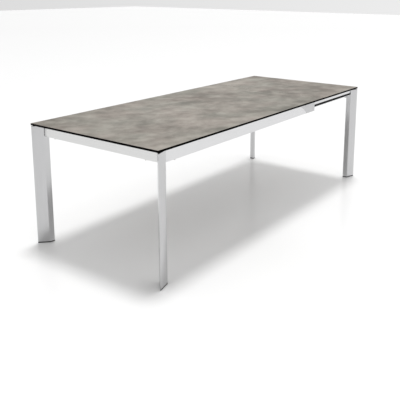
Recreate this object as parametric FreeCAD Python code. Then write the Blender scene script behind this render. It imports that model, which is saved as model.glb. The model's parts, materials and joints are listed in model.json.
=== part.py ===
# Extendable dining table: a compact-laminate top on an aluminium frame. One end of
# the frame slides out on rails inside the long aprons, and a loose leaf drops in.
# Millimetres, +Z up. The origin is on the floor under the middle of the open table,
# +X runs along the length to the sliding end, and the front side is at -Y.
import FreeCAD, Part
import os

Vec = FreeCAD.Vector

# Overall sizes
open_length = 2400.0        # with the leaf in place
extension = 600.0           # travel of the sliding end and length of the leaf
width = 1000.0
height = 750.0

# Top
top_thick = 12.0
seam = 0.5                  # joint between the main top and the leaf
edge_break = 0.8            # small chamfer on the visible edges

# Leg section, as distances (from the short edge, from the long edge) of the top
leg_tip = (0.0, 0.0)
leg_outer = (80.0, 22.0)
leg_inner = (83.0, 59.0)
leg_back = (50.0, 53.0)
leg_wall = 3.0
foot_thick = 6.0
foot_plug = 18.0            # how far the foot reaches up inside the leg
cap_height = 7.0            # black cap between a leg and the top or the leaf
cap_plate = 2.0             # its plate, under a pad that carries the top
cap_pad_inset = 8.0         # pad's side in from the leg's outline
cap_plug = 8.0
push_fit = 0.2              # gap round a plug or a strip
nut_block_height = 40.0

# Long rails and short aprons, all C-shaped and open towards the inside
frame_depth = 71.0
sheet = 2.5
flange = 53.0
apron_setback = 54.0        # outer face of an apron from the short edge
apron_flange = 28.0
apron_end = 57.0            # end of an apron from the long edge
stack_gap = 15.0            # sliding apron's top below the underside of the top
closed_gap = 24.0           # between rail end and sliding leg when closed
end_piece_top = 235.0       # length of the rail's end casting at its top edge
end_piece_mid = 153.0       # and 40 mm down
end_piece_low = 120.0       # and at its bottom edge
end_piece_drop = 40.0

# Sliding rails
slide_width = 30.0
slide_clear = 2.5           # between the rail's web and the sliding rail
roller_space = 19.5         # under the sliding rail
run_gap = 0.3               # running clearance
slide_overlap = 506.0       # sliding rail still inside the fixed one when open
groove_rise = 5.0           # groove above the bottom of the sliding rail
groove_height = 15.0
groove_depth = 4.0
pin_diameter = 6.0
pin_clearance = 0.05        # all round
tail_roller_width = 21.4
cheek = 2.0
guide_roller_back = 30.0    # guide roller from the rail's end
tail_roller_forward = 14.0  # tail roller from the sliding rail's tail
tie_width = 25.0
tie_height = 20.0
tie_rise = 4.0              # tie bar above the bottom of the sliding rail

# Cross bars of the fixed frame, lying on the rails' bottom flanges
bar_height = 17.5
bar_mid_width = 25.0
bar_end_width = 52.0
bar_end_back = 94.0         # near edge of the end bar from the rail's end
bumper_length = 12.0
bumper_width = 30.0
bumper_beside = 48.0        # bumper's outer face from the sliding rail
stop_length = 20.0

# Corner brackets
bracket_height = 42.5
bracket_arm = 9.0
bracket_apron_end = 150.0
bracket_rail_end = 165.0
bracket_face = 98.0         # how far the solid corner reaches along the rail
bracket_fixed_depth = 70.0
bracket_moving_depth = 80.0
bolt_across = 72.0          # leg bolts from the short edge
bolt_levels = (12.5, 32.5)  # leg bolts above the bracket's underside
leg_bolt = 8.0
frame_screw = 6.0
top_screw = 5.0
screw_bite = 8.0            # a screw's depth in the top
bolt_reach = 36.0           # leg bolt's tip from the long edge

# Store for the loose leaf under the main top
store_play = 1.0            # above and beside the stored leaf
runner_foot = 25.0
leaf_stop_width = 300.0
leaf_stop_length = 10.0

# Turn latches under the seam
latch_beside = 83.0         # pivot from the sliding rail
latch_back = 25.0           # pivot from the end of the main top
latch_reach = 55.0
latch_width = 28.0
latch_thick = 5.0
latch_tab = 7.0

# Levels and places that follow
underside = height - top_thick
leg_top = underside - cap_height
frame_low = underside - frame_depth
floor_of_rail = frame_low + sheet
half_length = open_length / 2
half_width = width / 2
main_end = half_length - extension
rail_web = leg_outer[1]
rail_inside = rail_web + sheet
slide_outer = rail_inside + slide_clear
slide_inner = slide_outer + slide_width
slide_low = floor_of_rail + roller_space
slide_top = underside - sheet - run_gap
groove_low = slide_low + groove_rise
rail_end_x = half_length - leg_outer[0] - extension - closed_gap
tail_x = rail_end_x - slide_overlap
roller_radius = roller_space / 2 - run_gap
roller_level = floor_of_rail + roller_space / 2
bar_top = floor_of_rail + bar_height
leg_section = [leg_tip, leg_outer, leg_inner, leg_back]
ends = {"fixed": -1, "moving": 1}
sides = {"front": -1, "back": 1}


def box(x0, x1, y0, y1, z0, z1):
    low = Vec(min(x0, x1), min(y0, y1), min(z0, z1))
    return Part.makeBox(abs(x1 - x0), abs(y1 - y0), abs(z1 - z0), low)


def at_corner(end, side, points):
    # Distances from the top's short and long edges, turned into x and y.
    return [(end * (half_length - u), side * (half_width - v)) for u, v in points]


def prism(outline, low, high, shrink=0.0):
    points = [Vec(x, y, low) for x, y in outline]
    base = Part.Face(Part.makePolygon(points + points[:1]))
    if shrink:
        base = base.makeOffset2D(-shrink).Faces[0]
    return base.extrude(Vec(0, 0, high - low))


def rod(start, stop, diameter):
    along = stop - start
    return Part.makeCylinder(diameter / 2, along.Length, start, along)


def bolt(seat, tip, size):
    # Socket-head screw: the shank runs from the seat to the tip, the head stands back.
    along = (tip - seat).normalize()
    head_height = 0.7 * size
    head = rod(seat, seat - along * head_height, 1.6 * size)
    corners = [Vec(0.45 * size, 0, 0)]
    turn = FreeCAD.Rotation(Vec(0, 0, 1), 60)
    for _ in range(5):
        corners.append(turn.multVec(corners[-1]))
    socket = Part.Face(Part.makePolygon(corners + corners[:1]))
    socket = socket.extrude(Vec(0, 0, 0.4 * size))
    socket.Placement = FreeCAD.Placement(
        seat - along * head_height, FreeCAD.Rotation(Vec(0, 0, 1), along))
    return rod(seat, tip, size).fuse(head).cut(socket).removeSplitter()


def c_section(side, web, depth, low, high, x0, x1):
    # Channel along X with its web at distance web from the long edge, open inwards.
    y0, y1 = [side * (half_width - v) for v in (web, web + depth)]
    hollow0, hollow1 = [side * (half_width - v) for v in (web + sheet, web + depth + 1)]
    hollow = box(x0 - 1, x1 + 1, hollow0, hollow1, low + sheet, high - sheet)
    return box(x0, x1, y0, y1, low, high).cut(hollow)


def leg_face_cut(end, side, solid):
    # Cuts a rail's end to the slanting face of the leg that it meets.
    slant = (leg_inner[0] - leg_outer[0]) / (leg_inner[1] - leg_outer[1])
    far = leg_inner[1] + flange
    line = [leg_outer, (leg_outer[0] + slant * (far - leg_outer[1]), far), (0, far),
            (0, leg_outer[1])]
    return solid.cut(prism(at_corner(end, side, line), frame_low - 1, underside + 1))


# Top

def main_top():
    slab = box(-half_length, main_end, -half_width, half_width, underside, height)
    return slab.makeChamfer(edge_break, edges_off_seam(slab, main_end))


def extension_leaf():
    slab = box(main_end + seam, half_length, -half_width, half_width, underside, height)
    return slab.makeChamfer(edge_break, edges_off_seam(slab, main_end + seam))


def edges_off_seam(slab, seam_x):
    # The level edges of a slab, without those along the seam.
    level = [e for e in slab.Edges if e.BoundBox.ZLength < 0.001]
    return [e for e in level if abs(e.BoundBox.Center.x - seam_x) > 0.001]


# Legs and corners

def leg_bolts(end, side):
    # Seat and tip of each bolt that holds a leg to its corner bracket.
    depth = bracket_fixed_depth if end < 0 else bracket_moving_depth
    (x, seat_y), (_, tip_y) = at_corner(end, side, [(bolt_across, depth),
                                                   (bolt_across, bolt_reach)])
    levels = [floor_of_rail + rise for rise in bolt_levels]
    return [(Vec(x, seat_y, z), Vec(x, tip_y, z)) for z in levels]


def leg(end, side):
    outline = at_corner(end, side, leg_section)
    tube = prism(outline, foot_thick, leg_top)
    tube = tube.cut(prism(outline, foot_thick - 1, leg_top + 1, leg_wall))
    for seat, tip in leg_bolts(end, side):
        tube = tube.cut(rod(seat, tip, leg_bolt + 2 * push_fit))
    return tube


def foot(end, side):
    outline = at_corner(end, side, leg_section)
    plug = prism(outline, foot_thick - 1, foot_thick + foot_plug, leg_wall + push_fit)
    return prism(outline, 0, foot_thick).fuse(plug).removeSplitter()


def leg_cap(end, side):
    outline = at_corner(end, side, leg_section)
    plug = prism(outline, leg_top - cap_plug, leg_top + 1, leg_wall + push_fit)
    pad = prism(outline, leg_top + 1, underside, cap_pad_inset)
    plate = prism(outline, leg_top, leg_top + cap_plate)
    return plate.fuse([plug, pad]).removeSplitter()


def nut_block(end, side):
    outline = at_corner(end, side, leg_section)
    low = floor_of_rail + (bracket_height - nut_block_height) / 2
    block = prism(outline, low, low + nut_block_height, leg_wall + push_fit)
    for seat, tip in leg_bolts(end, side):
        block = block.cut(rod(seat, tip, leg_bolt))
    return block


def corner_bracket(end, side):
    # Casting in the corner behind a leg, with an arm along the apron and, on the
    # fixed side, one inside the rail.
    if end < 0:
        arm_face, depth, reach = rail_inside, bracket_fixed_depth, bracket_rail_end
    else:
        arm_face, depth, reach = slide_inner, bracket_moving_depth, bracket_face
    slant = (leg_inner[0] - leg_outer[0]) / (leg_inner[1] - leg_outer[1])
    on_leg = leg_outer[0] + slant * (arm_face - leg_outer[1])
    apron_face = apron_setback + sheet
    arm_inner = apron_face + bracket_arm
    back_slant = (leg_inner[1] - leg_back[1]) / (leg_inner[0] - leg_back[0])
    on_back = leg_back[1] + back_slant * (apron_face - leg_back[0])
    outline = [(apron_face, on_back), leg_inner, (on_leg, arm_face), (reach, arm_face)]
    if reach > bracket_face:
        outline += [(reach, arm_face + bracket_arm), (bracket_face, arm_face + bracket_arm)]
    outline += [(bracket_face, depth), (arm_inner, depth), (arm_inner, bracket_apron_end),
                (apron_face, bracket_apron_end)]
    casting = prism(at_corner(end, side, outline), floor_of_rail,
                    floor_of_rail + bracket_height)
    for seat, tip in leg_bolts(end, side):
        casting = casting.cut(rod(seat, tip, leg_bolt + 2 * push_fit))
    for seat, tip in corner_screws(end, side):
        casting = casting.cut(rod(seat, tip, frame_screw))
    return casting


def corner_screws(end, side):
    # Seat and tip of the screws that hold a rail and an apron to a corner bracket.
    below = frame_low
    above = floor_of_rail + 2 * frame_screw
    apron_mid = apron_setback + sheet + bracket_arm / 2
    places = [(apron_mid, bracket_apron_end - bracket_arm)]
    if end < 0:
        places.append((bracket_rail_end - bracket_arm, rail_inside + bracket_arm / 2))
    screws = [(Vec(x, y, below), Vec(x, y, above)) for x, y in at_corner(end, side, places)]
    if end > 0:
        u = (leg_inner[0] + bracket_face) / 2
        (x, y0), (_, y1) = at_corner(end, side, [(u, bracket_moving_depth),
                                                 (u, slide_inner - 2 * sheet)])
        z = floor_of_rail + bracket_height - frame_screw * 1.5
        screws.append((Vec(x, y0, z), Vec(x, y1, z)))
    return screws


def corner_hardware(end):
    found = []
    for side in sides.values():
        found += [bolt(seat, tip, leg_bolt) for seat, tip in leg_bolts(end, side)]
        found += [bolt(seat, tip, frame_screw) for seat, tip in corner_screws(end, side)]
    return Part.makeCompound(found)


# Aprons across the ends

def apron_top(end):
    return underside if end < 0 else underside - stack_gap


def apron(end):
    y = half_width - apron_end
    x0 = end * (half_length - apron_setback)
    x1 = x0 - end * apron_flange
    low, high = frame_low, apron_top(end)
    hollow = box(x0 - end * sheet, x1 - end, -y - 1, y + 1, low + sheet, high - sheet)
    channel = box(x0, x1, -y, y, low, high).cut(hollow)
    for side in sides.values():
        channel = channel.cut(prism(at_corner(end, side, leg_section), 0, underside))
        for seat, tip in corner_screws(end, side):
            channel = channel.cut(rod(seat, tip, frame_screw + 2 * push_fit))
    if end < 0:
        for seat, tip in apron_top_screws():
            channel = channel.cut(rod(seat, tip, top_screw + 2 * push_fit))
    return channel


# Fixed rails

def end_piece_cutter(side):
    # Everything beyond the curved joint between a rail and its end casting.
    x_top = rail_end_x - end_piece_top
    x_mid = rail_end_x - end_piece_mid
    x_low = rail_end_x - end_piece_low
    y = side * half_width
    top = Vec(x_top, y, underside)
    low = Vec(x_low, y, frame_low)
    joint = Part.Arc(top, Vec(x_mid, y, underside - end_piece_drop), low).toShape()
    far = Vec(rail_end_x + 1, y, 0)
    rest = Part.makePolygon([low, Vec(low.x, y, frame_low - 1), Vec(far.x, y, frame_low - 1),
                             Vec(far.x, y, underside + 1), Vec(top.x, y, underside + 1), top])
    outline = Part.Wire([joint] + rest.Edges)
    return Part.Face(outline).extrude(Vec(0, -side * (rail_web + flange + 1), 0))


def whole_rail(side):
    channel = c_section(side, rail_web, flange, frame_low, underside,
                        leg_outer[0] - half_length, rail_end_x)
    channel = leg_face_cut(-1, side, channel)
    for seat, tip in corner_screws(-1, side) + bar_screws(side):
        channel = channel.cut(rod(seat, tip, frame_screw + 2 * push_fit))
    for seat, tip in rail_top_screws(side):
        channel = channel.cut(rod(seat, tip, top_screw + 2 * push_fit))
    return channel


def fixed_rail(side):
    return whole_rail(side).cut(end_piece_cutter(side))


def rail_end(side):
    # End casting with a low inner cheek that carries the guide roller's pin.
    casting = whole_rail(side).common(end_piece_cutter(side))
    y0, y1 = [side * (half_width - v) for v in (slide_inner + 0.5, slide_inner + 0.5 + sheet)]
    upstand = box(rail_end_x - 2 * guide_roller_back, rail_end_x, y0, y1, floor_of_rail - 1,
                  slide_low - 1)
    casting = casting.fuse(upstand).removeSplitter()
    start, stop = guide_pin_ends(side)
    return casting.cut(rod(start, stop, pin_diameter))


# Sliding rails and what they run on

def sliding_rail(side):
    y0, y1 = [side * (half_width - v) for v in (slide_outer, slide_inner)]
    outer = box(tail_x, half_length - leg_outer[0], y0, y1, slide_low, slide_top)
    inset = side * slide_wall_inset()
    hollow = box(tail_x - 1, half_length, y0 - inset, y1 + side * sheet,
                 slide_low + sheet, slide_top - sheet)
    groove = box(tail_x - 1, half_length, y0 + side, y0 - side * groove_depth,
                 groove_low, groove_low + groove_height)
    rail = leg_face_cut(1, side, outer.cut(hollow).cut(groove))
    for seat, tip in corner_screws(1, side):
        rail = rail.cut(rod(seat, tip, frame_screw + 2 * push_fit))
    return rail


def slide_wall_inset():
    # The outer wall is thick enough to hold the groove.
    return groove_depth + sheet


def slide_strip(side):
    y0, y1 = [side * (half_width - v) for v in (rail_inside + run_gap,
                                               slide_outer + groove_depth)]
    return box(tail_x, half_length - leg_inner[0] - 1, y0, y1, groove_low + push_fit,
               groove_low + groove_height - push_fit)


def roller(x, side, v0, v1):
    y0, y1 = [side * (half_width - v) for v in (v0, v1)]
    start, stop = Vec(x, y0, roller_level), Vec(x, y1, roller_level)
    wheel = rod(start, stop, 2 * roller_radius)
    return wheel.cut(rod(start, stop, pin_diameter + 2 * pin_clearance))


def guide_roller(side):
    return roller(rail_end_x - guide_roller_back, side, slide_outer + 0.5, slide_inner - 0.5)


def guide_pin_ends(side):
    x = rail_end_x - guide_roller_back
    return [Vec(x, side * (half_width - v), roller_level)
            for v in (rail_inside, slide_inner + 0.5 + sheet)]


def guide_pins():
    return Part.makeCompound([rod(*guide_pin_ends(side), pin_diameter)
                              for side in sides.values()])


def fork_faces():
    # Outer faces of a tail fork's cheeks, from the long edge.
    middle = (slide_outer + slide_inner) / 2
    half = tail_roller_width / 2 + run_gap + cheek
    return middle - half, middle + half


def tail_roller(side):
    v0, v1 = fork_faces()
    return roller(tail_x + tail_roller_forward, side, v0 + cheek + run_gap,
                  v1 - cheek - run_gap)


def tail_pin_ends(side):
    x = tail_x + tail_roller_forward
    return [Vec(x, side * (half_width - v), roller_level) for v in fork_faces()]


def tail_fork(side):
    # Two cheeks and a back web under the sliding rail's tail.
    y0, y1 = [side * (half_width - v) for v in fork_faces()]
    x1 = tail_x + tail_roller_forward + roller_radius
    low = floor_of_rail + roller_radius - pin_diameter + 1
    body = box(tail_x, x1, y0, y1, low, slide_low)
    slot = box(tail_x + cheek, x1 + 1, y0 - side * cheek, y1 + side * cheek, low - 1,
               slide_low + 1)
    start, stop = tail_pin_ends(side)
    return body.cut(slot).cut(rod(start, stop, pin_diameter))


def tail_pins():
    return Part.makeCompound([rod(*tail_pin_ends(side), pin_diameter)
                              for side in sides.values()])


def tube_across(x0, x1, half_span, low, high):
    solid = box(x0, x1, -half_span, half_span, low, high)
    hollow = box(x0 + sheet, x1 - sheet, -half_span - 1, half_span + 1, low + sheet,
                 high - sheet)
    return solid.cut(hollow)


def tie_bar():
    low = slide_low + tie_rise
    return tube_across(tail_x + 5, tail_x + 5 + tie_width, half_width - slide_inner, low,
                       low + tie_height)


# Cross bars, bumpers and stops of the fixed frame

def bar_places():
    # First and last x of each cross bar.
    mid = tail_x + 5 + tie_width + run_gap
    end = rail_end_x - bar_end_back
    return [(mid, mid + bar_mid_width), (end - bar_end_width, end)]


def bar_screws(side):
    found = []
    y = side * (half_width - (slide_inner + rail_web + flange) / 2)
    for x0, x1 in bar_places():
        inset = min(bar_mid_width, x1 - x0) / 2
        for x in sorted({x0 + inset, x1 - inset}):
            found.append((Vec(x, y, frame_low), Vec(x, y, floor_of_rail + bar_height / 2)))
    return found


def cross_bar(number):
    x0, x1 = bar_places()[number]
    bar = tube_across(x0, x1, half_width - rail_inside, floor_of_rail, bar_top)
    for side in sides.values():
        for seat, tip in bar_screws(side):
            bar = bar.cut(rod(seat, tip, frame_screw))
    return bar


def bar_hardware():
    found = []
    for side in sides.values():
        found += [bolt(seat, tip, frame_screw) for seat, tip in bar_screws(side)]
    return Part.makeCompound(found)


def open_bumpers():
    x0 = bar_places()[0][0]
    y1 = half_width - slide_inner - bumper_beside
    top = slide_low + tie_rise + tie_height
    return Part.makeCompound([box(x0, x0 + bumper_length, side * y1,
                                  side * (y1 - bumper_width), bar_top, top)
                              for side in sides.values()])


def closed_stops():
    x1 = tail_x - extension - run_gap
    found = []
    for side in sides.values():
        y0, y1 = [side * (half_width - v) for v in (rail_inside, slide_inner)]
        found.append(box(x1 - stop_length, x1, y0, y1, floor_of_rail, slide_top - stack_gap))
    return Part.makeCompound(found)


# Store for the leaf

def store_ends():
    # The leaf lies across its own length, so the store is as long as the table is wide.
    x1 = rail_end_x + 4
    return x1 - width, x1


def runner(side):
    # Z-shaped strip: a shelf under the leaf's edge, a web beside it, a foot on the top.
    x0, x1 = store_ends()
    web0 = extension / 2 + store_play
    web1 = web0 + sheet
    shelf_top = underside - top_thick - store_play
    web = box(x0, x1, side * web0, side * web1, shelf_top - sheet, underside)
    shelf = box(x0, x1, side * (web0 - runner_foot), side * web1, shelf_top - sheet,
                shelf_top)
    lip = box(x0, x1, side * web0, side * (web1 + runner_foot), underside - sheet, underside)
    strip = web.fuse([shelf, lip]).removeSplitter()
    for seat, tip in runner_screws(side):
        strip = strip.cut(rod(seat, tip, top_screw + 2 * push_fit))
    return strip


def leaf_stop():
    x0 = store_ends()[0]
    low = underside - top_thick - store_play
    return box(x0 - leaf_stop_length, x0, -leaf_stop_width / 2, leaf_stop_width / 2, low,
               underside)


# Screws into the top

def into_top(x, y):
    return Vec(x, y, underside - sheet), Vec(x, y, underside + screw_bite)


def spaced(low, high, count):
    step = (high - low) / (count - 1)
    return [low + step * i for i in range(count)]


def rail_top_screws(side):
    y = side * (half_width - (slide_inner + rail_web + flange) / 2)
    first = -half_length + bracket_rail_end + 2 * top_screw
    return [into_top(x, y) for x in spaced(first, rail_end_x - guide_roller_back, 6)]


def apron_top_screws():
    x = apron_setback + sheet + (apron_flange - sheet) / 2 - half_length
    reach = half_width - bracket_apron_end - 2 * bracket_arm
    return [into_top(x, y) for y in spaced(-reach, reach, 3)]


def runner_screws(side):
    x0, x1 = store_ends()
    y = side * (extension / 2 + store_play + sheet + runner_foot / 2)
    return [into_top(x, y) for x in spaced(x0 + runner_foot, x1 - runner_foot, 4)]


def all_top_screws():
    found = apron_top_screws()
    for side in sides.values():
        found += rail_top_screws(side) + runner_screws(side)
    return found


# Turn latches

def latch_pivot(side):
    y = side * (half_width - slide_inner - latch_beside)
    return Vec(main_end - latch_back, y, underside - latch_thick)


def latch(side):
    pivot = latch_pivot(side)
    r = latch_width / 2
    tip = pivot + Vec(latch_reach - r, 0, 0)
    rise = Vec(0, 0, latch_thick)
    tongue = box(pivot.x, tip.x, pivot.y - r, pivot.y + r, pivot.z, underside)
    tongue = tongue.fuse([rod(pivot, pivot + rise, latch_width),
                          rod(tip, tip + rise, latch_width)])
    tab = box(tip.x, tip.x + latch_thick, tip.y - r / 2, tip.y + r / 2, pivot.z - latch_tab,
              pivot.z + 1)
    hole = rod(pivot - Vec(0, 0, 1), pivot + rise + Vec(0, 0, 1),
               frame_screw + 2 * pin_clearance)
    return tongue.fuse(tab).cut(hole).removeSplitter()


def latch_screw_ends(side):
    pivot = latch_pivot(side)
    return pivot, pivot + Vec(0, 0, latch_thick + screw_bite)


def drilled_top():
    slab = main_top()
    for seat, tip in all_top_screws():
        slab = slab.cut(rod(seat, tip, top_screw))
    for side in sides.values():
        slab = slab.cut(rod(*latch_screw_ends(side), frame_screw))
    return slab


def build():
    nodes = {
        "main_top": drilled_top(),
        "extension_leaf": extension_leaf(),
        "cross_bar_mid": cross_bar(0),
        "cross_bar_end": cross_bar(1),
        "cross_bar_screws": bar_hardware(),
        "open_bumpers": open_bumpers(),
        "closed_stops": closed_stops(),
        "tie_bar": tie_bar(),
        "guide_roller_pins": guide_pins(),
        "tail_roller_pins": tail_pins(),
        "leaf_stop": leaf_stop(),
        "top_screws": Part.makeCompound([bolt(*ends_of, top_screw)
                                         for ends_of in all_top_screws()]),
        "latch_screws": Part.makeCompound([bolt(*latch_screw_ends(side), frame_screw)
                                           for side in sides.values()]),
    }
    for end_name, end in ends.items():
        nodes["apron_" + end_name] = apron(end)
        nodes["corner_bolts_" + end_name] = corner_hardware(end)
        for side_name, side in sides.items():
            place = end_name + "_" + side_name
            nodes["leg_" + place] = leg(end, side)
            nodes["foot_" + place] = foot(end, side)
            nodes["leg_cap_" + place] = leg_cap(end, side)
            nodes["nut_block_" + place] = nut_block(end, side)
            nodes["corner_bracket_" + place] = corner_bracket(end, side)
    for side_name, side in sides.items():
        nodes["fixed_rail_" + side_name] = fixed_rail(side)
        nodes["rail_end_" + side_name] = rail_end(side)
        nodes["sliding_rail_" + side_name] = sliding_rail(side)
        nodes["slide_strip_" + side_name] = slide_strip(side)
        nodes["guide_roller_" + side_name] = guide_roller(side)
        nodes["tail_roller_" + side_name] = tail_roller(side)
        nodes["tail_fork_" + side_name] = tail_fork(side)
        nodes["leaf_runner_" + side_name] = runner(side)
        nodes["turn_latch_" + side_name] = latch(side)
    return nodes


os.makedirs("parts", exist_ok=True)
for name, shape in build().items():
    shape.exportStep("parts/" + name + ".step")
    print(name, len(shape.Solids), round(shape.Volume), shape.isValid())
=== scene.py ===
# Extendable dining table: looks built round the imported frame. Sizes are in millimetres.
import json
import math
import bmesh
import bpy
import numpy as np
from mathutils import Euler, Matrix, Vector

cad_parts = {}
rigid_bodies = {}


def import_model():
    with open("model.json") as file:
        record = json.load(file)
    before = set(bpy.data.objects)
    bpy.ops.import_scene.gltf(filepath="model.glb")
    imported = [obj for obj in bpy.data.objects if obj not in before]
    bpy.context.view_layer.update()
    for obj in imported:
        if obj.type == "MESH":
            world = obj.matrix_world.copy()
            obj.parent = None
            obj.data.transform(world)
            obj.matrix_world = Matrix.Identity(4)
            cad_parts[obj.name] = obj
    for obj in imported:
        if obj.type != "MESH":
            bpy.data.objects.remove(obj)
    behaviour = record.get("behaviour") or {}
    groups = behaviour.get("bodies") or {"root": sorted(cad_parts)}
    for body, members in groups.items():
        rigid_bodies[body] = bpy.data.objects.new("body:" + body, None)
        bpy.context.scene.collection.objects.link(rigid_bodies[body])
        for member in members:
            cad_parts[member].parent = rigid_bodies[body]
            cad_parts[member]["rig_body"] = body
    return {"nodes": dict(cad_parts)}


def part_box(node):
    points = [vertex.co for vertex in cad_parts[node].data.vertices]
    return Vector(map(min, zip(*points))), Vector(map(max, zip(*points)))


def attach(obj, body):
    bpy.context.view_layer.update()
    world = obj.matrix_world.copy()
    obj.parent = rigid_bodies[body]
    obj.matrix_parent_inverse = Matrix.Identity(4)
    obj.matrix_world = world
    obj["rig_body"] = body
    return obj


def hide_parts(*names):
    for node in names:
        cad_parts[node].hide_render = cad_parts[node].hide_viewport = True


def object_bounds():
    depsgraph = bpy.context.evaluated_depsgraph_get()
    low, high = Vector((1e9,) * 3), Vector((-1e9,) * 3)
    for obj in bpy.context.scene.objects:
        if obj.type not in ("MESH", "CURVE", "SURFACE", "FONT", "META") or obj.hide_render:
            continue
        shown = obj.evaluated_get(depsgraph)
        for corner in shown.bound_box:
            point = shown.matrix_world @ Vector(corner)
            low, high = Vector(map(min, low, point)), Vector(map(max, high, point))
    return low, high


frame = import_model()
cadBox = [list(corner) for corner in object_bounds()]
halfLength, halfWidth, topLevel = (c * 1000 for c in cadBox[1])
ends = {"fixed": -1, "moving": 1}
sides = {"front": -1, "back": 1}
metal, nylon, laminate = "polished_aluminium", "black_nylon", "compact_laminate"
satin, steel, rubber = "satin_aluminium", "zinc_steel", "rubber"


def boxOf(node):
    # lowest and highest corner of a CAD node, in millimetres
    return [np.array(corner) * 1000 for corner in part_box(node)]


# ---- stage, camera and light

def addStage():
    stage = {"size": 60000, "white": "FAFAFA", "roughness": 0.2}
    half = stage["size"] / 2000
    mesh = bpy.data.meshes.new("studioFloor")
    mesh.from_pydata([(-half, -half, 0), (half, -half, 0), (half, half, 0), (-half, half, 0)],
                     [], [(0, 1, 2, 3)])
    floor = bpy.data.objects.new("studioFloor", mesh)
    bpy.context.scene.collection.objects.link(floor)
    paint = newMaterial("studioPaint")  # satin white studio floor, a faint mirror of the feet
    setShader(paint, {"Base Color": hexColour(stage["white"]), "Roughness": stage["roughness"],
                      "Specular IOR Level": 0.35})
    mesh.materials.append(paint)
    world = bpy.data.worlds.new("studioWalls")
    bpy.context.scene.world = world
    world.use_nodes = True
    # white walls, brighter towards one side and dimmer towards the opposite one
    walls = {"dim": 0.55, "bright": 0.93, "towards": -38}
    turn = math.radians(walls["towards"])
    way = addNode(world, "ShaderNodeTexCoord", out="Generated")
    facing = addNode(world, "ShaderNodeVectorMath", {0: way, 1: (math.cos(turn), math.sin(turn), 0)},
                     out="Value", operation="DOT_PRODUCT")
    glow = addNode(world, "ShaderNodeMapRange", {"Value": facing, "From Min": -1, "From Max": 1,
                                                 "To Min": walls["dim"], "To Max": walls["bright"]})
    back = world.node_tree.nodes["Background"]
    back.inputs["Color"].default_value = (1, 1, 1, 1)
    world.node_tree.links.new(glow, back.inputs["Strength"])
    bpy.context.scene.view_settings.view_transform = "Standard"


def addCamera():
    view = {"at": (-3315, -2424, 1544), "yaw": 35.52, "pitch": 11.67, "roll": 0.345, "lens": 53.94,
            "shift": (-0.0676, -0.2256)}
    data = bpy.data.cameras.new("camera")
    data.lens = view["lens"]
    data.shift_x, data.shift_y = view["shift"]
    data.clip_end = 200
    camera = bpy.data.objects.new("camera", data)
    camera.location = [c / 1000 for c in view["at"]]
    level = Euler((math.radians(90 - view["pitch"]), 0, math.radians(view["yaw"] - 90)))
    roll = Matrix.Rotation(math.radians(view["roll"]), 3, "Z")
    camera.rotation_euler = (level.to_matrix() @ roll).to_euler()
    bpy.context.scene.collection.objects.link(camera)
    bpy.context.scene.camera = camera


def addLights():
    # a wide overhead softbox, far enough off to light the whole floor alike
    look = {"power": 1.5, "softness": 13, "from": (0.16, 0.06, 1.0)}
    data = bpy.data.lights.new("overheadSoftbox", "SUN")
    data.energy = look["power"]
    data.angle = math.radians(look["softness"])
    lamp = bpy.data.objects.new("overheadSoftbox", data)
    lamp.location = [3 * c for c in look["from"]]
    lamp.rotation_euler = (-lamp.location).to_track_quat("-Z", "Y").to_euler()
    bpy.context.scene.collection.objects.link(lamp)


# ---- materials

def hexColour(code):
    # sRGB hex to linear
    parts = [int(code[i:i + 2], 16) / 255 for i in (0, 2, 4)]
    return [c / 12.92 if c <= 0.04045 else ((c + 0.055) / 1.055) ** 2.4 for c in parts] + [1]


def newMaterial(name):
    material = bpy.data.materials.new(name)
    material.use_nodes = True
    return material


def setShader(material, values):
    # sets or links sockets of the material's own shader
    shader = material.node_tree.nodes["Principled BSDF"]
    for socket, value in values.items():
        if isinstance(value, bpy.types.NodeSocket):
            material.node_tree.links.new(value, shader.inputs[socket])
        else:
            shader.inputs[socket].default_value = value


def addNode(material, kind, inputs=None, out=0, **settings):
    # adds a node with its settings and links, and gives back one of its outputs
    node = material.node_tree.nodes.new(kind)
    for name, value in settings.items():
        setattr(node, name, value)
    for socket, value in (inputs or {}).items():
        if isinstance(value, bpy.types.NodeSocket):
            material.node_tree.links.new(value, node.inputs[socket])
        else:
            node.inputs[socket].default_value = value
    return node.outputs[out]


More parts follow.
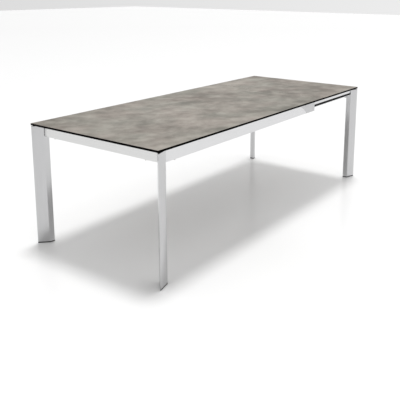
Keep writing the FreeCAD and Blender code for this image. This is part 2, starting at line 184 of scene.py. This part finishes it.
def concreteDecor():
    # melamine decor paper pressed on compact laminate: matt, cloudy like floated concrete
    look = {"clouds": 430, "patches": 105, "grain": 7, "pores": 2.2, "dark": "5C5750",
            "light": "A8A39B", "warm": "96877C", "cool": "858679"}
    m = newMaterial("concreteDecorLaminate")
    place = addNode(m, "ShaderNodeTexCoord", out="Object")
    stretched = addNode(m, "ShaderNodeMapping", {"Vector": place, "Scale": (0.72, 1, 1),
                                                 "Rotation": (0, 0, 0.35)})
    clouds = addNode(m, "ShaderNodeTexNoise", {"Vector": stretched, "Scale": 1000 / look["clouds"],
                                               "Detail": 7, "Roughness": 0.6, "Distortion": 0.5})
    patches = addNode(m, "ShaderNodeTexNoise", {"Vector": place, "Scale": 1000 / look["patches"],
                                                "Detail": 5, "Roughness": 0.62})
    tint = addNode(m, "ShaderNodeTexNoise", {"Vector": stretched, "Scale": 2100 / look["clouds"],
                                             "Detail": 3})
    grain = addNode(m, "ShaderNodeTexNoise", {"Vector": place, "Scale": 1000 / look["grain"],
                                              "Detail": 3, "Roughness": 0.7})
    pores = addNode(m, "ShaderNodeTexVoronoi", {"Vector": place, "Scale": 1000 / look["pores"] / 4},
                    out="Distance")
    both = addNode(m, "ShaderNodeMath", {0: clouds, 1: patches}, operation="ADD")
    tone = addNode(m, "ShaderNodeMapRange", {"Value": both, "From Min": 0.78, "From Max": 1.24})
    base = addNode(m, "ShaderNodeMixRGB", {"Fac": tone, "Color1": hexColour(look["dark"]),
                                           "Color2": hexColour(look["light"])})
    hue = addNode(m, "ShaderNodeMapRange", {"Value": tint, "From Min": 0.35, "From Max": 0.65})
    cast = addNode(m, "ShaderNodeMixRGB", {"Fac": hue, "Color1": hexColour(look["cool"]),
                                           "Color2": hexColour(look["warm"])})
    tinted = addNode(m, "ShaderNodeMixRGB", {"Fac": 0.28, "Color1": base, "Color2": cast})
    fine = addNode(m, "ShaderNodeMapRange", {"Value": grain, "From Min": 0.3, "From Max": 0.7,
                                             "To Min": 0.93, "To Max": 1.05})
    speckled = addNode(m, "ShaderNodeMixRGB", {"Fac": 1.0, "Color1": tinted, "Color2": fine},
                       blend_type="MULTIPLY")
    dull = addNode(m, "ShaderNodeMapRange", {"Value": patches, "From Min": 0.3, "From Max": 0.7,
                                             "To Min": 0.50, "To Max": 0.64})
    pit = addNode(m, "ShaderNodeMapRange", {"Value": pores, "From Min": 0.02, "From Max": 0.12})
    height = addNode(m, "ShaderNodeMath", {0: grain, 1: pit}, operation="MULTIPLY")
    relief = addNode(m, "ShaderNodeBump", {"Height": height, "Strength": 0.35, "Distance": 0.00012})
    setShader(m, {"Base Color": speckled, "Roughness": dull, "Normal": relief,
                  "Specular IOR Level": 0.35})
    return m


def phenolicCore():
    # the black kraft core of the same board, milled at the edge: near black, low sheen
    look = {"milling": 1.5, "dark": "010101", "worn": "070605"}
    m = newMaterial("phenolicBlackCore")
    place = addNode(m, "ShaderNodeTexCoord", out="Object")
    layered = addNode(m, "ShaderNodeMapping", {"Vector": place, "Scale": (0.05, 0.05, 1)})
    lines = addNode(m, "ShaderNodeTexNoise", {"Vector": layered, "Scale": 1000 / look["milling"],
                                              "Detail": 2})
    wear = addNode(m, "ShaderNodeTexNoise", {"Vector": place, "Scale": 60, "Detail": 4})
    amount = addNode(m, "ShaderNodeMapRange", {"Value": wear, "From Min": 0.45, "From Max": 0.8})
    colour = addNode(m, "ShaderNodeMixRGB", {"Fac": amount, "Color1": hexColour(look["dark"]),
                                             "Color2": hexColour(look["worn"])})
    relief = addNode(m, "ShaderNodeBump", {"Height": lines, "Strength": 0.25, "Distance": 0.0001})
    setShader(m, {"Base Color": colour, "Roughness": 0.6, "Normal": relief,
                  "Specular IOR Level": 0.03})
    return m


def drawnAluminium(name, along, shineAndPaintedLight):
    # 6060 aluminium extrusion: fine die lines run along the profile, faint hand marks across
    line, run = 0.9, 260
    m = newMaterial(name)
    place = addNode(m, "ShaderNodeTexCoord", out="Object")
    scale = [1000 / line] * 3
    scale["xyz".index(along)] = 1000 / run
    stretched = addNode(m, "ShaderNodeMapping", {"Vector": place, "Scale": scale})
    lines = addNode(m, "ShaderNodeTexNoise", {"Vector": stretched, "Scale": 1.0, "Detail": 4,
                                              "Roughness": 0.65})
    marks = addNode(m, "ShaderNodeTexNoise", {"Vector": place, "Scale": 9, "Detail": 4})
    both = addNode(m, "ShaderNodeMath", {0: lines, 1: marks}, operation="MULTIPLY")
    rough = addNode(m, "ShaderNodeMapRange", {"Value": both, "From Min": 0.12, "From Max": 0.42,
                                              "To Min": shineAndPaintedLight["smooth"], "To Max": shineAndPaintedLight["dull"]})
    tone = addNode(m, "ShaderNodeMapRange", {"Value": lines, "From Min": 0.3, "From Max": 0.7})
    # base colour between the dark and light tones given; for the legs, rails and aprons that level
    # also holds painted shade and painted light besides the die-line tone
    colour = addNode(m, "ShaderNodeMixRGB", {"Fac": tone, "Color1": hexColour(shineAndPaintedLight["dark"]),
                                             "Color2": hexColour(shineAndPaintedLight["light"])})
    relief = addNode(m, "ShaderNodeBump", {"Height": lines, "Strength": 0.12, "Distance": 0.00005})
    setShader(m, {"Base Color": colour, "Metallic": 1.0, "Roughness": rough, "Normal": relief})
    return m


def castAluminium():
    # gravity-cast aluminium, tumbled and satin anodised: even, slightly grey, fine skin
    m = newMaterial("satinCastAluminium")
    place = addNode(m, "ShaderNodeTexCoord", out="Object")
    skin = addNode(m, "ShaderNodeTexNoise", {"Vector": place, "Scale": 1000 / 1.4, "Detail": 3})
    tone = addNode(m, "ShaderNodeTexNoise", {"Vector": place, "Scale": 1000 / 60, "Detail": 3})
    colour = addNode(m, "ShaderNodeMixRGB", {"Fac": tone, "Color1": hexColour("BCBCBD"),
                                             "Color2": hexColour("CECECF")})
    rough = addNode(m, "ShaderNodeMapRange", {"Value": tone, "To Min": 0.34, "To Max": 0.5})
    relief = addNode(m, "ShaderNodeBump", {"Height": skin, "Strength": 0.2, "Distance": 0.0001})
    setShader(m, {"Base Color": colour, "Metallic": 1.0, "Roughness": rough, "Normal": relief})
    return m


def mouldedNylon():
    # glass-filled nylon, spark-eroded mould skin: matt black with a fine grain
    m = newMaterial("mouldedBlackNylon")
    place = addNode(m, "ShaderNodeTexCoord", out="Object")
    grain = addNode(m, "ShaderNodeTexNoise", {"Vector": place, "Scale": 1000 / 0.8, "Detail": 3})
    scuffs = addNode(m, "ShaderNodeTexNoise", {"Vector": place, "Scale": 1000 / 25, "Detail": 5})
    amount = addNode(m, "ShaderNodeMapRange", {"Value": scuffs, "From Min": 0.5, "From Max": 0.8})
    colour = addNode(m, "ShaderNodeMixRGB", {"Fac": amount, "Color1": hexColour("020202"),
                                             "Color2": hexColour("080808")})
    rough = addNode(m, "ShaderNodeMapRange", {"Value": scuffs, "To Min": 0.42, "To Max": 0.62})
    relief = addNode(m, "ShaderNodeBump", {"Height": grain, "Strength": 0.3, "Distance": 0.0001})
    setShader(m, {"Base Color": colour, "Roughness": rough, "Normal": relief,
                  "Specular IOR Level": 0.06})
    return m


def platedSteel():
    # turned steel, zinc plated and blue passivated: cool grey with faint yellow bloom
    m = newMaterial("zincPlatedSteel")
    place = addNode(m, "ShaderNodeTexCoord", out="Object")
    bloom = addNode(m, "ShaderNodeTexNoise", {"Vector": place, "Scale": 1000 / 9, "Detail": 4})
    colour = addNode(m, "ShaderNodeMixRGB", {"Fac": bloom, "Color1": hexColour("B4B8BC"),
                                             "Color2": hexColour("CFCBBE")})
    rough = addNode(m, "ShaderNodeMapRange", {"Value": bloom, "To Min": 0.24, "To Max": 0.42})
    setShader(m, {"Base Color": colour, "Metallic": 1.0, "Roughness": rough})
    return m


def naturalRubber():
    # moulded rubber bumper: soft black, dusty at the high spots
    m = newMaterial("mouldedRubber")
    place = addNode(m, "ShaderNodeTexCoord", out="Object")
    dust = addNode(m, "ShaderNodeTexNoise", {"Vector": place, "Scale": 1000 / 14, "Detail": 6})
    colour = addNode(m, "ShaderNodeMixRGB", {"Fac": dust, "Color1": hexColour("0E0E0E"),
                                             "Color2": hexColour("262524")})
    relief = addNode(m, "ShaderNodeBump", {"Height": dust, "Strength": 0.3, "Distance": 0.0002})
    setShader(m, {"Base Color": colour, "Roughness": 0.75, "Normal": relief})
    return m


# ---- surfaces

def unit(rows):
    return rows / np.linalg.norm(rows, axis=-1, keepdims=True)


def signedArea(outline):
    x, y = np.asarray(outline, float).T
    return (x * np.roll(y, -1) - y * np.roll(x, -1)).sum() / 2


def shrink(corners, distance):
    # each corner moves in along its bisector, so that every side moves in by the distance
    p = np.asarray(corners, float)
    side = unit(np.roll(p, -1, 0) - p)
    inward = np.stack([-side[:, 1], side[:, 0]], 1) * np.sign(signedArea(p))
    before = np.roll(inward, 1, 0)
    return p + (inward + before) * distance / (1 + (inward * before).sum(1))[:, None]


def rounded(corners, radius, steps=4):
    # every corner becomes an arc of that radius, tangent to its two sides
    p = np.asarray(corners, float)
    r = np.broadcast_to(np.asarray(radius, float), len(p))[:, None]
    back, ahead = unit(np.roll(p, 1, 0) - p), unit(np.roll(p, -1, 0) - p)
    half = np.arccos(np.clip((back * ahead).sum(1), -1, 1))[:, None] / 2
    centre = p + unit(back + ahead) * r / np.sin(half)
    first, last = p + back * r / np.tan(half) - centre, p + ahead * r / np.tan(half) - centre
    turn = (math.pi - 2 * half)[:, :, None]
    t = np.linspace(0, 1, steps + 1)[None, :, None]
    arc = (np.sin((1 - t) * turn) * first[:, None] + np.sin(t * turn) * last[:, None])
    return (centre[:, None] + arc / np.sin(turn)).reshape(-1, 2)


def refine(outline, longest):
    # adds points, so that no side of the closed outline is longer than that
    p = np.vstack([outline, outline[:1]])
    run = np.concatenate([[0], np.cumsum(np.linalg.norm(np.diff(p, axis=0), axis=1))])
    extra = np.arange(0, run[-1], longest)
    far = np.abs(extra[:, None] - run[None]).min(1) > longest / 4
    at = np.sort(np.concatenate([run[:-1], extra[far]]))
    return np.stack([np.interp(at, run, p[:, 0]), np.interp(at, run, p[:, 1])], 1)


def grid(rings, closed=False, capped=True):
    # rings of points, each joined to the next by four-sided faces; closed joins last to first
    rings = np.asarray(rings, float)
    m, n = rings.shape[:2]
    i = np.arange(m if closed else m - 1)[:, None]
    j = np.arange(n)[None]
    a, b = i * n + j, i * n + (j + 1) % n
    c, d = ((i + 1) % m) * n + (j + 1) % n, ((i + 1) % m) * n + j
    faces = np.stack([a, b, c, d], -1).reshape(-1, 4).tolist()
    if capped and not closed:
        faces += [list(range(n))[::-1], list(range((m - 1) * n, m * n))]
    return rings.reshape(-1, 3), faces


def joined(shells):
    points, faces, start = [], [], 0
    for shellPoints, shellFaces in shells:
        points.append(shellPoints)
        faces += [[v + start for v in f] for f in shellFaces]
        start += len(shellPoints)
    return np.vstack(points), faces


def outwards(shell):
    # turns a closed shell's faces out: its volume, summed over fans of triangles, is positive
    points, faces = shell
    fans = [(f[0], f[k], f[k + 1]) for f in faces for k in range(1, len(f) - 1)]
    a, b, c = (points[[t[k] for t in fans]] for k in range(3))
    if (a * np.cross(b, c)).sum() < 0:
        faces = [f[::-1] for f in faces]
    return points, faces


def addPiece(name, shells, body, material, replaced=(), faceMaterial=None, crease=32):
    points, faces = joined([outwards(s) for s in shells])
    mesh = bpy.data.meshes.new(name)
    mesh.from_pydata((points / 1000).tolist(), [], faces)
    for m in (material if isinstance(material, list) else [material]):
        mesh.materials.append(m)
    if faceMaterial is not None:
        mesh.polygons.foreach_set("material_index", faceMaterial)
    return finishPiece(name, mesh, body, replaced, crease)


def finishPiece(name, mesh, body, replaced, crease):
    mesh.update()
    mesh.polygons.foreach_set("use_smooth", [True] * len(mesh.polygons))
    mesh.set_sharp_from_angle(angle=math.radians(crease))
    piece = bpy.data.objects.new(name, mesh)
    bpy.context.scene.collection.objects.link(piece)
    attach(piece, body)
    if replaced:
        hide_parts(*replaced)
    return piece


def cornerPlace(end, side, outline):
    # distances in from the top's short and long edge, turned into x and y
    u, v = np.asarray(outline, float).T
    return np.stack([end * (halfLength - u), side * (halfWidth - v)], 1)


def lifted(outline, level):
    return np.column_stack([outline, np.full(len(outline), level)])


# ---- top

def board(name, node, body, materials):
    # rings from the middle of the upper face, round the milled edge, to the lower face
    look = {"arris": 0.4, "cornerRadius": 2.2, "rim": 25, "arcSteps": 4, "decorBack": 0.15}
    low, high = boxOf(node)
    corners = [(low[0], low[1]), (high[0], low[1]), (high[0], high[1]), (low[0], high[1])]
    arris, t = look["arris"], np.linspace(0, math.pi / 2, look["arcSteps"] + 1)
    inset = arris * (1 - np.sin(t))
    drop = arris * (1 - np.cos(t))
    ways = [(look["rim"], high[2]), (arris + look["decorBack"], high[2])]
    ways += [(i, high[2] - d) for i, d in zip(inset, drop)]
    ways += [(i, low[2] + d) for i, d in zip(inset[::-1], drop[::-1])]
    ways += [(arris + look["decorBack"], low[2]), (look["rim"], low[2])]
    rings = [lifted(rounded(shrink(corners, i), max(look["cornerRadius"] - i, 0.4), 6), z)
             for i, z in ways]
    points, faces = grid(rings)
    around = len(rings[0])
    sort = np.ones(len(faces), int)
    sort[:around] = sort[-2 - around:] = 0
    addPiece(name, [(points, faces)], body, materials, [node], sort)


# ---- legs

leg = {"tip": (0, 0), "outer": (80, 22), "inner": (83, 59), "back": (50, 53),
       "radii": (0.9, 1.6, 1.6, 1.6), "wall": 3.0, "cut": 0.35, "fit": 0.2}
legOutline = [leg["tip"], leg["outer"], leg["inner"], leg["back"]]


def legRing(end, side, inset, level):
    radii = np.maximum(np.array(leg["radii"]) - inset, 0.3)
    return lifted(cornerPlace(end, side, rounded(shrink(legOutline, inset), radii, 5)), level)


def legTube(end, side, node):
    # outer and inner wall carried up the leg, with a fine saw chamfer at both ends
    low, high = boxOf(node)
    cut, wall = leg["cut"], leg["wall"]
    ways = [(cut, low[2]), (0, low[2] + cut), (0, high[2] - cut), (cut, high[2]),
            (wall, high[2]), (wall, low[2])]
    return grid([legRing(end, side, i, z) for i, z in ways], closed=True)


def footPad(end, side, node):
    # plate of the leg's outline with eased edges, and a plug that fits inside the leg
    look = {"plate": 6.0, "ease": 0.8, "lead": 1.2}
    ease, plug = look["ease"], leg["wall"] + leg["fit"]
    low, high = boxOf(node)
    ways = [(ease, low[2]), (0.3 * ease, low[2] + 0.3 * ease), (0, low[2] + ease),
            (0, low[2] + look["plate"] - 0.25), (0.25, low[2] + look["plate"]),
            (plug, low[2] + look["plate"]), (plug, high[2] - look["lead"]),
            (plug + look["lead"], high[2])]
    return grid([legRing(end, side, i, z) for i, z in ways])


def legCap(end, side, node, legTop):
    # from the top down: the pad that carries the board, the plate, the plug in the leg;
    # a sliding leg's pad runs a hair below the main top when the table closes
    look = {"plate": 2.0, "padInset": 8.0, "ease": 0.5, "lead": 1.2, "glide": 0.2}
    ease, inset, plug = look["ease"], look["padInset"], leg["wall"] + leg["fit"]
    low, high = boxOf(node)
    plate = legTop + look["plate"]
    padTop = high[2] - (look["glide"] if end > 0 else 0)
    ways = [(inset + ease, padTop), (inset, padTop - ease), (inset, plate), (ease, plate),
            (0, plate - ease), (0, legTop + 0.2), (0.2, legTop), (plug, legTop),
            (plug, low[2] + look["lead"]), (plug + look["lead"], low[2])]
    return grid([legRing(end, side, i, z) for i, z in ways])


def legs(materials):
    for endName, end in ends.items():
        body = "fixed_frame" if end < 0 else "end_frame"
        for sideName, side in sides.items():
            place = endName + "_" + sideName
            tag = endName + sideName.capitalize()
            addPiece("legExtrusion." + tag, [legTube(end, side, "leg_" + place)], body,
                     materials["legMetal"], ["leg_" + place])
            foot, cap = "foot_" + place, "leg_cap_" + place
            addPiece("footPad." + tag, [footPad(end, side, foot)], body,
                     materials["nylon"], [foot])
            legTop = boxOf("leg_" + place)[1][2]
            addPiece("legCap." + tag, [legCap(end, side, cap, legTop)], body,
                     materials["nylon"], [cap])


# ---- rails and aprons

channel = {"sheet": 2.5, "outerRadius": 1.0, "innerRadius": 1.2, "lipRadius": 0.6,
           "jointTop": 0.0, "jointMid": 82.0, "jointLow": 115.0, "jointDrop": 40.0,
           "jointGap": 0.35, "cut": 0.4}
# upright plate in the rail's end piece, which carries the guide roller's pin
lug = {"outer": 57.5, "inner": 60.0, "back": 60, "front": 1, "rise": 18.5, "ease": 0.8,
       "pinEnd": 0.3, "bite": 0.2}


def channelOutline(depth, low, high):
    # C section in (depth from the outer face, level)
    s = channel["sheet"]
    corners = [(0, low), (depth, low), (depth, low + s), (s, low + s), (s, high - s),
               (depth, high - s), (depth, high), (0, high)]
    o, i, lip = channel["outerRadius"], channel["innerRadius"], channel["lipRadius"]
    return corners, np.array([o, lip, lip, i, i, lip, lip, o])


def railJoint(node):
    # x of the curved joint at any level: a circle through three points of it
    low, high = boxOf(node)
    at = [(low[0] + channel["jointTop"], high[2]),
          (low[0] + channel["jointMid"], high[2] - channel["jointDrop"]),
          (low[0] + channel["jointLow"], low[2])]
    (ax, az), (bx, bz), (cx, cz) = at
    d = 2 * (ax * (bz - cz) + bx * (cz - az) + cx * (az - bz))
    a2, b2, c2 = ax * ax + az * az, bx * bx + bz * bz, cx * cx + cz * cz
    ox = (a2 * (bz - cz) + b2 * (cz - az) + c2 * (az - bz)) / d
    oz = (a2 * (cx - bx) + b2 * (ax - cx) + c2 * (bx - ax)) / d
    radius = math.hypot(ax - ox, az - oz)
    way = np.sign(bx - ox)
    return lambda z: ox + way * np.sqrt(np.maximum(radius ** 2 - (z - oz) ** 2, 0))


def legSlant(v):
    # distance of the leg's inner face from the short edge, at a distance v from the long edge
    (u0, v0), (u1, v1) = leg["outer"], leg["inner"]
    return u0 + (u1 - u0) * (v - v0) / (v1 - v0)


def alongX(side, web, corners, radii, start, stop, cuts, longest=4.0):
    # a section carried from start to stop, each a function of (distance in, level)
    cut = channel["cut"]
    ways = [(cut, start, 0), (0, start, cut), (0, stop, -cut), (cut, stop, 0)]
    full = refine(rounded(corners, radii, 3), longest)
    rings = []
    for inset, edge, shift in ways:
        eased = full if inset == 0 else full + (shrink(full, inset) - full) * cuts
        v, z = eased.T
        rings.append(np.stack([edge(v + web, z) + shift, side * (halfWidth - web - v), z], 1))
    return grid(rings)


def rails(materials):
    for sideName, side in sides.items():
        node, endNode = "fixed_rail_" + sideName, "rail_end_" + sideName
        low, high = boxOf(node)
        web = leg["outer"][1]
        corners, radii = channelOutline(high[1] - low[1], low[2], high[2])
        joint = railJoint(endNode)
        gap = channel["jointGap"]
        tag = sideName.capitalize()
        shell = alongX(side, web, corners, radii, lambda v, z: legSlant(v) - halfLength,
                       lambda v, z: joint(z) - gap, 1)
        addPiece("longRail" + tag, [shell], "fixed_frame", materials["railMetal"], [node])
        endX = boxOf(endNode)[1][0]
        casting = alongX(side, web, corners, radii, lambda v, z: joint(z) + gap,
                         lambda v, z: endX + 0 * z, 1)
        onFloor = low[2] + channel["sheet"] - lug["bite"]
        cheek = blockShell(
            (endX - lug["back"], side * (halfWidth - lug["outer"]), onFloor),
            (endX - lug["front"], side * (halfWidth - lug["inner"]), onFloor + lug["rise"]),
            lug["ease"])
        addPiece("railEndCasting" + tag, [casting, cheek], "fixed_frame",
                 materials["cast"], [endNode])


def blockShell(a, b, ease):
    # box with rounded upright edges and eased top and bottom
    lo, hi = np.minimum(a, b), np.maximum(a, b)
    corners = [(lo[0], lo[1]), (hi[0], lo[1]), (hi[0], hi[1]), (lo[0], hi[1])]
    t = np.linspace(0, math.pi / 2, 4)
    ways = [(ease * (1 - math.sin(k)), lo[2] + ease * (1 - math.cos(k))) for k in t]
    ways += [(ease * (1 - math.sin(k)), hi[2] - ease * (1 - math.cos(k))) for k in t[::-1]]
    return grid([lifted(rounded(shrink(corners, i), max(ease * 1.2 - i, 0.2), 4), z)
                 for i, z in ways])


def aprons(materials):
    # the same C section across each end, cut straight a little short of the legs
    for endName, end in ends.items():
        node = "apron_" + endName
        low, high = boxOf(node)
        corners, radii = channelOutline(high[0] - low[0], low[2], high[2])
        face = max(abs(low[0]), abs(high[0]))
        full = refine(rounded(corners, radii, 3), 4.0)
        cut = channel["cut"]
        rings = []
        for inset, y in ((cut, low[1]), (0, low[1] + cut), (0, high[1] - cut), (cut, high[1])):
            d, z = (shrink(full, inset) if inset else full).T
            rings.append(np.stack([end * (face - d), np.full(len(d), y), z], 1))
        addPiece("endApron" + endName.capitalize(), [grid(rings)],
                 "fixed_frame" if end < 0 else "end_frame", materials["apronMetal"],
                 [node])


def slidingRails(materials):
    look = {"grooveRise": 5.0, "grooveHeight": 15.0, "grooveDepth": 4.0, "lip": 0.7,
            "ribs": 3, "ribHeight": 0.5, "corner": 1.2, "root": 0.3, "stripCorner": 0.8,
            "railStep": 6.0, "stripStep": 0.6}
    for sideName, side in sides.items():
        node, stripNode = "sliding_rail_" + sideName, "slide_strip_" + sideName
        low, high = boxOf(node)
        web = halfWidth - max(abs(low[1]), abs(high[1]))
        wide = high[1] - low[1]
        g0 = low[2] + look["grooveRise"]
        g1 = g0 + look["grooveHeight"]
        deep = look["grooveDepth"]
        corners = [(0, low[2]), (wide, low[2]), (wide, high[2]), (0, high[2]), (0, g1),
                   (deep, g1), (deep, g0), (0, g0)]
        radii = np.array([look["corner"]] * 4 + [look["lip"], look["root"], look["root"], look["lip"]])
        shell = alongX(side, web, corners, radii, lambda v, z: low[0] + 0 * z,
                       lambda v, z: halfLength - legSlant(v) - 0.1, 1, look["railStep"])
        tag = sideName.capitalize()
        addPiece("slidingRail" + tag, [shell], "end_frame", materials["railMetal"], [node])
        low, high = boxOf(stripNode)
        web = halfWidth - max(abs(low[1]), abs(high[1]))
        outline = refine(rounded([(0, low[2]), (high[1] - low[1], low[2]),
                                  (high[1] - low[1], high[2]), (0, high[2])],
                                 look["stripCorner"], 3), look["stripStep"])
        v, z = outline.T
        phase = (z - low[2]) / (high[2] - low[2]) * 2 * math.pi * look["ribs"]
        v = np.where(v < 0.5, v + look["ribHeight"] * (1 + np.cos(phase)) / 2, v)
        rings = [np.stack([np.full(len(v), x), side * (halfWidth - web - v), z], 1)
                 for x in (low[0], high[0])]
        addPiece("glideStrip" + tag, [grid(rings)], "end_frame", materials["nylon"],
                 [stripNode])


# ---- rollers and pins

def turned(profile, centre, axisY=1, steps=40):
    # a closed profile of (distance along Y, radius) turned round the Y axis through centre
    y, r = np.asarray(profile, float).T
    a = np.linspace(0, 2 * math.pi, steps, endpoint=False)[:, None]
    return grid(np.stack([centre[0] + r * np.cos(a), centre[1] + axisY * y + 0 * a,
                          centre[2] + r * np.sin(a)], -1), closed=True)


def rollersAndPins(materials):
    look = {"bore": 3.05, "crown": 0.15, "hub": 5.2, "recess": 1.2, "rim": 7.6, "ease": 0.7,
            "tailReach": 13, "pin": 3.0, "pinCore": 0.05, "pinSides": 24}
    for kind in ("guide", "tail"):
        pinShells = []
        for sideName, side in sides.items():
            node = kind + "_roller_" + sideName
            low, high = boxOf(node)
            centre, half = (low + high) / 2, (high[1] - low[1]) / 2
            r = (high[2] - low[2]) / 2
            k, e = look["recess"], look["ease"]
            right = [(half, look["bore"] + 0.3), (half, look["hub"]), (half - k, look["hub"] + 0.4),
                     (half - k, look["rim"] - 0.4), (half, look["rim"]), (half, r - e),
                     (half - 0.3 * e, r - 0.3 * e), (half - e, r - look["crown"] / 2),
                     (half / 3, r)]
            left = [(-y, rad) for y, rad in right[::-1]]
            bore = [(-half + 0.3, look["bore"]), (half - 0.3, look["bore"])]
            addPiece(kind + "Wheel" + sideName.capitalize(),
                     [turned(right + left + bore, centre)], kind + "_wheel_" + sideName,
                     materials["nylon"], [node], crease=40)
            pinShells.append((centre, side))
        node = kind + "_roller_pins"
        low, high = boxOf(node)
        shells = []
        for centre, side in pinShells:
            inner = centre[1] * side - look["tailReach"]
            if kind == "guide":
                inner = halfWidth - lug["inner"] - lug["pinEnd"]
            outer = high[1]
            pin, core = look["pin"], look["pinCore"]
            span = np.array([[inner, core], [inner, pin - 0.6], [inner + 0.5, pin],
                             [outer - 0.4, pin], [outer, pin - 0.4], [outer, core]])
            span[:, 0] -= abs(centre[1])
            shells.append(turned(span, centre, side, look["pinSides"]))
        addPiece(kind + "Pins", shells, "fixed_frame" if kind == "guide" else "end_frame",
                 materials["steel"], [node])


# ---- pieces whose CAD shape is right: a merged copy with eased edges

def eased(name, node, material, slot, width):
    source = frame["nodes"][node]
    shape = bmesh.new()
    shape.from_mesh(source.data)
    bmesh.ops.remove_doubles(shape, verts=shape.verts, dist=2e-6)
    bmesh.ops.dissolve_limit(shape, angle_limit=math.radians(0.6), verts=shape.verts,
                             edges=shape.edges)
    mesh = bpy.data.meshes.new(name)
    shape.to_mesh(mesh)
    shape.free()
    mesh.materials.clear()
    mesh.materials.append(material)
    piece = finishPiece(name, mesh, source["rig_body"], [node], 34)
    bevel = piece.modifiers.new("easedEdge", "BEVEL")
    bevel.width = width / 1000
    bevel.segments = 2
    bevel.limit_method = "ANGLE"
    bevel.angle_limit = math.radians(50)
    bevel.use_clamp_overlap = True
    bevel.harden_normals = False
    return piece


def hardware(materials):
    # CAD node start: piece name start, material, slot, eased edge
    plain = {"corner_bracket_": ("cornerCasting", "cast", satin, 1.2),
             "cross_bar_mid": ("crossBarMid", "barMetal", metal, 0.6),
             "cross_bar_end": ("crossBarEnd", "barMetal", metal, 0.6),
             "cross_bar_screws": ("crossBarScrews", "steel", steel, 0.25),
             "tie_bar": ("tieBar", "barMetal", metal, 0.6),
             "leaf_runner_": ("leafRunner", "railMetal", metal, 0.4),
             "leaf_stop": ("leafStop", "nylon", nylon, 0.8),
             "open_bumpers": ("openBumpers", "rubber", rubber, 1.5),
             "closed_stops": ("closedStops", "rubber", rubber, 1.5),
             "nut_block_": ("nutBlock", "steel", steel, 0.5),
             "tail_fork_": ("tailFork", "steel", steel, 0.4),
             "turn_latch_": ("turnLatch", "steel", steel, 0.5),
             "top_screws": ("topScrews", "steel", steel, 0.25),
             "latch_screws": ("latchScrews", "steel", steel, 0.25),
             "corner_bolts_": ("cornerBolts", "steel", steel, 0.3)}
    for node in sorted(frame["nodes"]):
        for start, (name, material, slot, width) in plain.items():
            if node.startswith(start):
                words = node[len(start):].split("_") if start.endswith("_") else []
                eased(name + "".join(w.capitalize() for w in words), node, materials[material],
                      slot, width)


addCamera()
addStage()
addLights()
print("camera, stage and lights placed")
# leg aluminium gets a darker base than the rails: partly its brushed finish, partly painted shade
# standing in for the dimmer floor the legs mirror
legShineAndPaintedShade = {"smooth": 0.10, "dull": 0.22, "dark": "B8B8B9", "light": "CACACB"}
# rails and aprons are the same polished aluminium: the rail copy's base is set darker, painted shade
# offsetting the brighter wall it faces, and the apron copy's lighter, painted light making up for the
# dimmer wall
railShinePaintedShade = {"smooth": 0.12, "dull": 0.26, "dark": "D0D0D1", "light": "DADADB"}
apronShinePaintedLight = {"smooth": 0.12, "dull": 0.26, "dark": "D2D2D2", "light": "DEDEDD"}
barShine = {"smooth": 0.3, "dull": 0.5, "dark": "BDBDBE", "light": "CBCBCC"}
finishes = {"legMetal": drawnAluminium("brushedAluminiumUpright", "z", legShineAndPaintedShade),
            "railMetal": drawnAluminium("polishedAluminiumLengthwise", "x", railShinePaintedShade),
            "apronMetal": drawnAluminium("polishedAluminiumCrosswise", "y", apronShinePaintedLight),
            "barMetal": drawnAluminium("millAluminiumCrosswise", "y", barShine),
            "cast": castAluminium(), "nylon": mouldedNylon(), "steel": platedSteel(),
            "rubber": naturalRubber()}
topFinish = [concreteDecor(), phenolicCore()]
print("materials made")
board("mainTopBoard", "main_top", "fixed_frame", topFinish)
board("leafBoard", "extension_leaf", "leaf", topFinish)
print("boards made")
legs(finishes)
print("legs made")
rails(finishes)
aprons(finishes)
slidingRails(finishes)
print("rails and aprons made")
rollersAndPins(finishes)
hardware(finishes)
print("hardware made")
